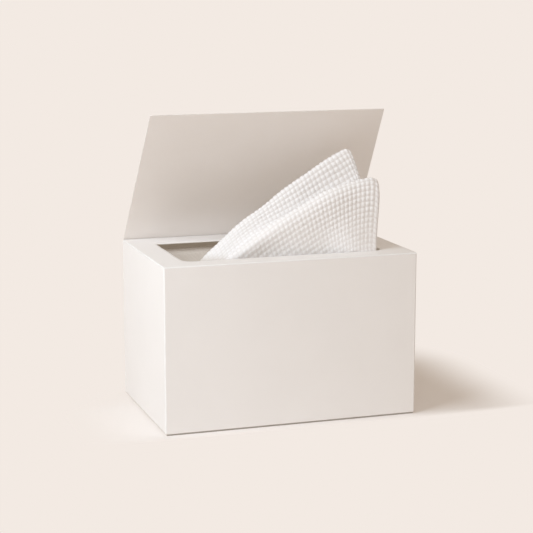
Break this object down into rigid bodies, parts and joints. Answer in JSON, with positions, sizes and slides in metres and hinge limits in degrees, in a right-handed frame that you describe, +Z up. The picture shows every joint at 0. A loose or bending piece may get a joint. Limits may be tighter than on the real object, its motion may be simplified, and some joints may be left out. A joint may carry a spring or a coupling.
{
  "type": "box of facial wipes",
  "caption": "White folding carton with a crease-hinged lid, a round-cornered window in its top panel and a stack of folded waffle wipes, the first one drawn up.",
  "frame": {"origin": "middle of the footprint, on the surface the carton stands on", "axes": "+X to the right seen from the front, +Y to the back where the lid is hinged, +Z up"},
  "size_m": [0.2, 0.13, 0.2329],
  "materials": {
    "carton_board": "matte white coated board",
    "lid_board": "matte white coated board",
    "stack_cloth": "soft pressed cotton",
    "wipe_cloth": "soft cotton waffle cloth"
  },
  "bodies": {
    "carton": {"carton": "carton_board", "wipe_stack": "stack_cloth", "popped_wipe": "wipe_cloth"},
    "lid": {"lid": "lid_board"}
  },
  "joints": [
    {"name": "lid_hinge", "type": "hinge", "parent": "carton", "child": "lid", "pos_m": [0, 0.0647, 0.12735], "axis": [-1, 0, 0], "range_deg": [-55, 45], "deforming": ["popped_wipe"]}
  ]
}
